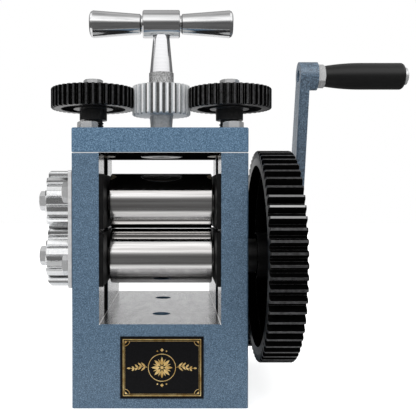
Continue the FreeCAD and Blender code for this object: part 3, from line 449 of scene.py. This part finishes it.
def spindleBand(band):    # another finish between two heights
    tree = spindleChrome.node_tree
    shader = tree.nodes["Principled BSDF"]
    low, high, reach = band["low"] * mm, band["high"] * mm, bandGrain["reach"]
    mask = boxesMask(tree, [((0, rollY, (low + high) / 2), (reach, reach, (high - low) / 2))])
    grain = groupNode(tree, grainGroup, {"Scale": band["scale"], "Detail": bandGrain["detail"]})
    stops = list(zip(bandGrain["stops"], (band["dark"], band["light"])))
    dull = rampNode(tree, grain.outputs["Mask"], stops)
    for name, value, mix in (("Base Color", dull, mixColour), ("Roughness", band["rough"], mixValue),
                             ("Metallic", band["metal"], mixValue)):
        socket = shader.inputs[name]
        plain = socket.links[0].from_socket if socket.links else socket.default_value
        linkOrSet(tree, mix(tree, mask, plain, value), socket)


def highlightSpot(material, spot):    # painted highlight, paler near one line along X
    tree = material.node_tree
    socket = tree.nodes["Principled BSDF"].inputs["Base Color"]
    across = vectorNode(tree, "MULTIPLY", objectPlace(tree), (0, 1, 1))
    away = vectorNode(tree, "DISTANCE", across, spot["middle"])
    near = fadeNode(tree, away, spot["far"], spot["near"])
    tree.links.new(mixColour(tree, near, socket.links[0].from_socket, spot["colour"]), socket)


highlightSpot(gearLandHighlight, toothHighlight)
for band in spindleBands:
    spindleBand(band)
print("materials made:", len(bpy.data.materials))

finish = {    # angles in degrees
    "smoothAngle": 32, "flatAngle": 0.4, "mergeWithin": 0.001 * mm,
    "bevelAngle": 35, "bevelSegments": 2,
    "endFace": 0.5,    # a gear's face looks along its axis when its normal has more than this of it
}


def finishSmooth(mesh):
    for polygon in mesh.polygons:
        polygon.use_smooth = True
    mesh.set_sharp_from_angle(angle=math.radians(finish["smoothAngle"]))


def dressTeeth(mesh, teeth):    # the lands and gaps, and the recess in one side with its hub; the gaps and the recess take the gap's material, a painted shade
    gapShadeIndex, landIndex = len(mesh.materials), len(mesh.materials) + 1
    mesh.materials.append(teeth["gap"])
    mesh.materials.append(teeth["land"])
    axis, recess = teeth["axis"], teeth.get("recess")
    across = [k for k in range(3) if k != axis]
    middle = {k: (min(v.co[k] for v in mesh.vertices) + max(v.co[k] for v in mesh.vertices)) / 2
              for k in across}

    def fromAxis(point):
        return math.hypot(*(point[k] - middle[k] for k in across)) / mm

    def inRecess(point):
        place = point[axis] / mm
        return place < recess["end"] and (fromAxis(point) < recess["hub"] or place > recess["web"])

    for polygon in mesh.polygons:
        if abs(polygon.normal[axis]) > finish["endFace"]:
            if recess and inRecess(mesh.vertices[polygon.vertices[0]].co):
                polygon.material_index = gapShadeIndex
            continue
        radius = fromAxis(polygon.center)
        if radius > teeth["tip"]:
            polygon.material_index = landIndex
        elif teeth["root"] < radius < teeth["gapTop"]:
            polygon.material_index = gapShadeIndex


def softened(node, look):    # a copy with soft edges takes the node's place
    bm = bmesh.new()
    bm.from_mesh(frame["nodes"][node].data)
    bmesh.ops.remove_doubles(bm, verts=bm.verts, dist=finish["mergeWithin"])
    bmesh.ops.dissolve_limit(bm, angle_limit=math.radians(finish["flatAngle"]),
                             verts=bm.verts, edges=bm.edges)
    mesh = bpy.data.meshes.new(look["name"])
    bm.to_mesh(mesh)
    bm.free()
    mesh.materials.clear()
    mesh.materials.append(look["material"])
    if "edge" in look:
        mesh.materials.append(look["edge"])
    for polygon in mesh.polygons:
        polygon.material_index = 0
    if "teeth" in look:
        dressTeeth(mesh, look["teeth"])
    piece = bpy.data.objects.new(look["name"], mesh)
    scene.collection.objects.link(piece)
    finishSmooth(mesh)
    bevel = piece.modifiers.new("soft edges", "BEVEL")
    bevel.width = look["width"] * mm
    bevel.segments = finish["bevelSegments"]
    bevel.limit_method = "ANGLE"
    bevel.angle_limit = math.radians(finish["bevelAngle"])
    bevel.use_clamp_overlap = True
    bevel.harden_normals = True
    bevel.material = 1 if "edge" in look else -1
    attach(piece, bodyOf[node])
    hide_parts(node)


def paintNode(node, material):
    source = frame["nodes"][node]
    source.data.materials.clear()
    source.data.materials.append(material)


# radii in mm: the gap's material, a painted shade, lies between root and gapTop, the land's lies
# beyond tip
driveGearTeeth = {"axis": 0, "root": 40.0, "gapTop": 79.7, "tip": 79.7, "gap": gearGapShade,
                  "land": gearLandHighlight, "recess": {"web": 73.0, "end": 85.0, "hub": 20.0}}
drivePinionTeeth = {"axis": 0, "root": 16.8, "gapTop": 22.2, "tip": 22.2, "gap": gearGapShade,
                    "land": gearLand}
screwGearTeeth = {"axis": 2, "root": 29.2, "gapTop": 31.8, "tip": 31.8, "gap": gearGapShade,
                  "land": gearLand}
spindlePinionTeeth = {"axis": 2, "root": 19.0, "gapTop": 20.4, "tip": 22.0, "gap": pinionRootShade,
                      "land": pinionLandHighlight}
softPieces = {    # width of the soft edges in mm
    "frame_casting": {"name": "castFrame", "material": castingPaint, "width": 0.45},
    "top_plate": {"name": "yokePlate", "material": platePaint, "width": 0.30},
    "crank_arm": {"name": "crankArm", "material": armPaint, "width": 0.30},
    "big_gear": {"name": "driveGear", "material": gearBlack, "width": 0.28, "edge": gearEdge,
                 "teeth": driveGearTeeth},
    "drive_pinion": {"name": "drivePinion", "material": gearBlack, "width": 0.28, "edge": gearEdge,
                     "teeth": drivePinionTeeth},
    "left_screw_gear": {"name": "leftScrewGear", "material": gearBlack, "width": 0.18,
                        "edge": gearEdge, "teeth": screwGearTeeth},
    "right_screw_gear": {"name": "rightScrewGear", "material": gearBlack, "width": 0.18,
                         "edge": gearEdge, "teeth": screwGearTeeth},
    "spindle_pinion": {"name": "spindlePinion", "material": toothSteel, "width": 0.14,
                       "teeth": spindlePinionTeeth},
    "upper_roll_pinion": {"name": "upperPinion", "material": pinionSteel, "width": 0.35},
    "lower_roll_pinion": {"name": "lowerPinion", "material": pinionSteel, "width": 0.35},
    "spindle_ring": {"name": "spindleRing", "material": ringBlack, "width": 0.30, "edge": ringEdge},
    "keeper_plate": {"name": "keeperPlate", "material": plateSteel, "width": 0.25},
    "lower_left_block": {"name": "lowerLeftBlock", "material": blockBlack, "width": 0.30},
    "lower_right_block": {"name": "lowerRightBlock", "material": blockBlack, "width": 0.30},
    "upper_left_block": {"name": "upperLeftBlock", "material": blockBlack, "width": 0.30},
    "upper_right_block": {"name": "upperRightBlock", "material": blockBlack, "width": 0.30},
}
for node, look in softPieces.items():
    softened(node, look)

plainNodes = {
    rollSteel: ["upper_roll", "lower_roll"],
    chrome: ["t_bar"],
    spindleChrome: ["spindle", "spindle_sleeve"],
    boltZinc: ["plate_bolts", "keeper_bolts", "upper_pinion_bolt", "lower_pinion_bolt",
               "big_gear_bolt", "left_screw_bolt", "right_screw_bolt", "crank_screw",
               "grip_lock_nut", "grip_spindle"],
    bronze: ["left_screw_nut", "right_screw_nut", "spindle_bush", "lower_left_bush",
             "lower_right_bush", "upper_left_bush", "upper_right_bush", "drive_bush_inner",
             "drive_bush_outer"],
    darkSteel: ["left_screw", "right_screw", "spindle_end_screw", "shaft_collar"],
    shaftSteel: ["drive_shaft", "left_thrust_pad", "right_thrust_pad", "upper_pinion_key",
                 "lower_pinion_key", "big_gear_key", "drive_pinion_key", "left_lift_spring",
                 "right_lift_spring"],
    gripBlack: ["handle_grip"],
}
for material, nodes in plainNodes.items():
    for node in nodes:
        paintNode(node, material)
print("nodes dressed:", len(softPieces) + sum(len(nodes) for nodes in plainNodes.values()))


def newPiece(bm, name, material, body):
    bmesh.ops.recalc_face_normals(bm, faces=bm.faces)
    mesh = bpy.data.meshes.new(name)
    bm.to_mesh(mesh)
    bm.free()
    mesh.materials.append(material)
    finishSmooth(mesh)
    piece = bpy.data.objects.new(name, mesh)
    scene.collection.objects.link(piece)
    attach(piece, body)


# the panel and its ornament, in mm
label = {"left": -27.8, "right": 30.4, "bottom": 7.1, "top": 50.6,
         "thick": 0.45, "sunk": 0.2, "raise": 0.14, "goldSunk": 0.05,
         "ruleInset": 1.9, "rule": 0.42, "innerInset": 3.1, "innerRule": 0.2}
labelX = (label["left"] + label["right"]) / 2
labelZ = (label["bottom"] + label["top"]) / 2
labelHalfX = (label["right"] - label["left"]) / 2
labelHalfZ = (label["top"] - label["bottom"]) / 2
panelBack = frontY / mm + label["sunk"]
panelFront = frontY / mm - label["thick"]
goldDepth = (panelFront + label["goldSunk"], panelFront - label["raise"])


def addPrism(bm, outline, back, front):    # a flat shape given by (x, z) in mm, from y back to front
    face = bm.faces.new([bm.verts.new((x * mm, back * mm, z * mm)) for x, z in outline])
    raised = bmesh.ops.extrude_face_region(bm, geom=[face])["geom"]
    bmesh.ops.translate(bm, verts=[part for part in raised if isinstance(part, bmesh.types.BMVert)],
                        vec=(0, (front - back) * mm, 0))


def sortFaces(bm):    # extruding leaves them in another order at each run
    faces = sorted(bm.faces, key=lambda face: tuple(face.calc_center_median()))
    order = {face: k for k, face in enumerate(faces)}
    bm.faces.sort(key=lambda face: order[face])


def addGold(bm, outline):
    addPrism(bm, outline, *goldDepth)


def addGoldBand(bm, inner, outer):    # a band between two lines of points
    addGold(bm, inner + outer[::-1])


def rectangle(x0, z0, x1, z1):
    return [(x0, z0), (x1, z0), (x1, z1), (x0, z1)]


def arcPoints(x, z, radius, start, end, steps):
    turn = math.radians(end - start) / steps
    return [(x + radius * math.cos(math.radians(start) + turn * k),
             z + radius * math.sin(math.radians(start) + turn * k)) for k in range(steps + 1)]


leaf = {"steps": 7, "fullness": 0.8}


def leafPoints(x, z, angle, length, half):    # pointed at both ends
    direction, across = (math.cos(angle), math.sin(angle)), (-math.sin(angle), math.cos(angle))
    steps = leaf["steps"]
    rise = [half * math.sin(math.pi * (k / steps) ** leaf["fullness"]) for k in range(steps + 1)]
    upper = [(length * k / steps, rise[k]) for k in range(steps)]
    lower = [(length * k / steps, -rise[k]) for k in range(steps, 0, -1)]
    return [(x + along * direction[0] + side * across[0], z + along * direction[1] + side * across[1])
            for along, side in upper + lower]


def addRule(bm, inset, width):    # four bars along the panel's sides
    x0, x1 = labelX - labelHalfX + inset, labelX + labelHalfX - inset
    z0, z1 = labelZ - labelHalfZ + inset, labelZ + labelHalfZ - inset
    for bar in ((x0, z0, x1, z0 + width), (x0, z1 - width, x1, z1),
                (x0, z0 + width, x0 + width, z1 - width), (x1 - width, z0 + width, x1, z1 - width)):
        addGold(bm, rectangle(*bar))


corners = {"radius": 3.4, "rule": 0.3, "steps": 8, "fanSteps": 6}


def addCorners(bm):    # a ruled arc and a fan in each corner
    radius = corners["radius"]
    for sideX, sideZ, start in ((-1, -1, 0), (1, -1, 90), (1, 1, 180), (-1, 1, 270)):
        x = labelX + sideX * (labelHalfX - label["innerInset"])
        z = labelZ + sideZ * (labelHalfZ - label["innerInset"])
        addGoldBand(bm, arcPoints(x, z, radius, start, start + 90, corners["steps"]),
                    arcPoints(x, z, radius + corners["rule"], start, start + 90, corners["steps"]))
        addGold(bm, [(x, z)] + arcPoints(x, z, radius / 2, start, start + 90, corners["fanSteps"]))


rosette = {"petals": 8, "start": 1.5, "end": 7.4, "wide": 1.05,
           "betweenStart": 2.6, "betweenShorter": 3.4, "betweenThinner": 2.6,
           "button": 1.15, "buttonSides": 16, "ringRadius": 9.3, "ring": 0.4, "ringSteps": 24}


def addPetal(bm, angle, start, length, half):
    addGold(bm, leafPoints(labelX + start * math.cos(angle), labelZ + start * math.sin(angle),
                           angle, length, half))


def addRosette(bm):    # wide and thin petals around a button, in a ring
    for k in range(rosette["petals"]):
        angle = 2 * math.pi * k / rosette["petals"]
        addPetal(bm, angle, rosette["start"], rosette["end"] - rosette["start"], rosette["wide"])
        addPetal(bm, angle + math.pi / rosette["petals"], rosette["betweenStart"],
                 rosette["end"] - rosette["betweenShorter"],
                 rosette["wide"] / rosette["betweenThinner"])
    addGold(bm, arcPoints(labelX, labelZ, rosette["button"], 0, 360, rosette["buttonSides"])[:-1])
    radius, steps = rosette["ringRadius"], rosette["ringSteps"]
    for start in (0, 180):
        addGoldBand(bm, arcPoints(labelX, labelZ, radius, start, start + 180, steps),
                    arcPoints(labelX, labelZ, radius + rosette["ring"], start, start + 180, steps))


diamonds = {"places": ((0, 1.2), (-3.2, 0.6), (3.2, 0.6)), "out": 3.0, "drop": 0.25}


def addDiamonds(bm):    # above and below the ring
    for sideZ in bothSides:
        for shift, size in diamonds["places"]:
            out = rosette["ringRadius"] + diamonds["out"] - diamonds["drop"] * abs(shift)
            x, z = labelX + shift, labelZ + sideZ * out
            addGold(bm, [(x - size, z), (x, z - size), (x + size, z), (x, z + size)])


sprig = {"points": 10, "start": 0.9, "step": 1.3, "wave": 0.9, "turn": 0.62, "wide": 0.32,
         "leafAt": (1, 3, 5, 7), "leafAngle": 44, "leafLong": 4.6, "leafShorter": 0.32,
         "leafHalf": 0.62, "leafUp": 0.15, "tipLong": 2.6}


def addSprig(bm, side):    # a waved stem with leaves on both sides and one at its end
    start, half = rosette["ringRadius"] + sprig["start"], sprig["leafHalf"]
    ahead = 0 if side > 0 else math.pi
    stem = [(labelX + side * (start + sprig["step"] * k),
             labelZ + sprig["wave"] * math.sin(k * sprig["turn"])) for k in range(sprig["points"])]
    addGoldBand(bm, stem, [(x, z + sprig["wide"]) for x, z in stem])
    for k in sprig["leafAt"]:
        x, z = stem[k]
        for turn in bothSides:
            angle = turn * math.radians(sprig["leafAngle"])
            addGold(bm, leafPoints(x, z + sprig["leafUp"], angle if side > 0 else math.pi - angle,
                                   sprig["leafLong"] - sprig["leafShorter"] * k, half))
    x, z = stem[-1]
    addGold(bm, leafPoints(x, z + sprig["leafUp"], ahead, sprig["tipLong"], half))


def makeLabel():
    bm = bmesh.new()
    addPrism(bm, rectangle(label["left"], label["bottom"], label["right"], label["top"]),
             panelBack, panelFront)
    sortFaces(bm)
    newPiece(bm, "labelPanel", panelBlack, "frame")
    bm = bmesh.new()
    addRule(bm, label["ruleInset"], label["rule"])
    addRule(bm, label["innerInset"], label["innerRule"])
    addCorners(bm)
    addRosette(bm)
    addDiamonds(bm)
    for side in bothSides:
        addSprig(bm, side)
    sortFaces(bm)
    newPiece(bm, "labelOrnament", gold, "frame")


thread = {    # mm; the crest's ends are parts of the pitch
    "x": 52.0, "core": 6.9, "crest": 7.85, "pitch": 2.0, "crestFrom": 0.42, "crestTo": 0.58,
    "from": 196.7, "to": 205.0, "stepsPerTurn": 28,
}


def makeThread(side, name, body):    # the screw's thread where it shows between the plate and the gear
    bm = bmesh.new()
    x, start = side * thread["x"] * mm, thread["from"] * mm
    core, crest, pitch = thread["core"] * mm, thread["crest"] * mm, thread["pitch"] * mm
    profile = [bm.verts.new((x + radius, rollY, start + up)) for radius, up in
               ((core, 0), (crest, pitch * thread["crestFrom"]), (crest, pitch * thread["crestTo"]),
                (core, pitch))]
    edges = [bm.edges.new(pair) for pair in zip(profile, profile[1:])]
    turns = (thread["to"] - thread["from"]) / thread["pitch"] - 1
    bmesh.ops.spin(bm, geom=profile + edges, cent=(x, rollY, 0), axis=(0, 0, 1),
                   dvec=(0, 0, pitch / thread["stepsPerTurn"]), angle=2 * math.pi * turns,
                   steps=round(turns * thread["stepsPerTurn"]))
    newPiece(bm, name, darkSteel, body)


makeLabel()
makeThread(-1, "leftThread", bodyOf["left_screw"])
makeThread(1, "rightThread", bodyOf["right_screw"])
print("dressing made")

stage = {    # metres
    "floorHalf": 3.0, "floorDrop": 0.02 * mm, "floorColour": 0.94, "floorLift": 0.70,
    "frontDark": 0.12, "darkFrom": -0.22, "darkTo": -0.165,
    "darkRightFrom": 0.11, "darkRightTo": 0.13,
    "worldLight": 0.80, "glossyBounces": 2, "lampAim": (0.03, -0.03, 0.12),
}
lamps = {
    "keyLamp": {"place": (-1.0, -1.1, 1.2), "size": 0.9, "power": 9.0},
    "fillLamp": {"place": (1.3, -0.9, 0.7), "size": 0.9, "power": 2.5},
}
mirrored = {    # greys that metal sees around it, by height from 0 below to 1 above
    "front": [(0.0, 0.12), (0.46, 0.12), (0.54, 0.14), (0.59, 0.26), (0.635, 0.60),
              (0.69, 1.15), (0.90, 1.15), (0.95, 0.62), (1.0, 0.42)],
    "side": [(0.0, 0.10), (0.58, 0.08), (0.75, 0.32), (1.0, 0.42)],
    "back": [(0.0, 0.9), (0.55, 0.95), (0.68, 0.42), (0.9, 0.45), (1.0, 0.50)],
    "backFrom": 0.93, "backTo": 0.985, "sideFrom": -0.15, "sideTo": 0.05, "sideTilt": -0.5,
}
camera = {"lens": 57.1, "sensor": 36, "place": (10.4 * mm, -540.5 * mm, 147.6 * mm),
          "pitch": -0.95, "shiftX": 0.0793, "clipStart": 0.01}


def floorMaterial():    # white to the lens, darker in front and at the right when metal sees it
    material, tree, shader = newMaterial("studio white", {"Roughness": 0.9, "Specular IOR Level": 0.0})
    split = addNode(tree, "ShaderNodeSeparateXYZ")
    tree.links.new(objectPlace(tree), split.inputs[0])
    light = addNode(tree, "ShaderNodeLightPath")
    far = fadeNode(tree, split.outputs["Y"], stage["darkFrom"], stage["darkTo"])
    left = fadeNode(tree, split.outputs["X"], stage["darkRightTo"], stage["darkRightFrom"])
    seenInMetal = mixValue(tree, mathNode(tree, "MULTIPLY", far, left),
                           stage["frontDark"], stage["floorColour"])
    level = mixValue(tree, light.outputs["Is Glossy Ray"], stage["floorColour"], seenInMetal)
    grey = addNode(tree, "ShaderNodeCombineColor")
    for socket in grey.inputs:
        tree.links.new(level, socket)
    tree.links.new(grey.outputs[0], shader.inputs["Base Color"])
    lift = stage["floorLift"]
    shader.inputs["Emission Color"].default_value = (lift, lift, lift, 1)
    tree.links.new(light.outputs["Is Camera Ray"], shader.inputs["Emission Strength"])
    return material


def makeFloor():
    bm = bmesh.new()
    bmesh.ops.create_grid(bm, x_segments=1, y_segments=1, size=stage["floorHalf"])
    bmesh.ops.translate(bm, verts=bm.verts, vec=(0, 0, -stage["floorDrop"]))
    mesh = bpy.data.meshes.new("studioFloor")
    bm.to_mesh(mesh)
    bm.free()
    floor = bpy.data.objects.new("studioFloor", mesh)
    scene.collection.objects.link(floor)
    mesh.materials.append(floorMaterial())


def makeWorld():
    world = bpy.data.worlds.new("studio")
    scene.world = world
    world.use_nodes = True
    tree = world.node_tree
    place = addNode(tree, "ShaderNodeTexCoord")
    split = addNode(tree, "ShaderNodeSeparateXYZ")
    tree.links.new(place.outputs["Generated"], split.inputs[0])
    height = mathNode(tree, "MULTIPLY_ADD", split.outputs["Z"], 0.5, 0.5)
    front, side, back = (rampNode(tree, height, mirrored[part]) for part in ("front", "side", "back"))
    toBack = fadeNode(tree, split.outputs["Y"], mirrored["backFrom"], mirrored["backTo"])
    tilt = mathNode(tree, "MULTIPLY_ADD", split.outputs["Z"], mirrored["sideTilt"], split.outputs["Y"])
    toSide = fadeNode(tree, tilt, mirrored["sideFrom"], mirrored["sideTo"])
    seenInMetal = mixColour(tree, toBack, mixColour(tree, toSide, front, side), back)
    light = addNode(tree, "ShaderNodeLightPath")
    lit = stage["worldLight"]
    plain = mixColour(tree, light.outputs["Is Camera Ray"], (lit, lit, lit), (1.0, 1.0, 1.0))
    colour = mixColour(tree, light.outputs["Is Glossy Ray"], plain, seenInMetal)
    tree.links.new(colour, tree.nodes["Background"].inputs["Color"])


def makeLamp(name, look):
    lamp = bpy.data.lights.new(name, "AREA")
    lamp.shape = "SQUARE"
    lamp.size = look["size"]
    lamp.energy = look["power"]
    lampObject = bpy.data.objects.new(name, lamp)
    lampObject.location = look["place"]
    aim = Vector(stage["lampAim"]) - Vector(look["place"])
    lampObject.rotation_euler = aim.to_track_quat("-Z", "Y").to_euler()
    lampObject.visible_glossy = False
    scene.collection.objects.link(lampObject)


def makeCamera():
    data = bpy.data.cameras.new("productCamera")
    data.lens = camera["lens"]
    data.sensor_width = camera["sensor"]
    data.shift_x = camera["shiftX"]
    data.clip_start = camera["clipStart"]
    cameraObject = bpy.data.objects.new("productCamera", data)
    cameraObject.location = camera["place"]
    cameraObject.rotation_euler = (math.radians(90 + camera["pitch"]), 0, 0)
    scene.collection.objects.link(cameraObject)
    scene.camera = cameraObject


makeFloor()
makeWorld()
for name, look in lamps.items():
    makeLamp(name, look)
makeCamera()
scene.view_settings.view_transform = "Standard"
scene.cycles.glossy_bounces = stage["glossyBounces"]
print("stage ready")
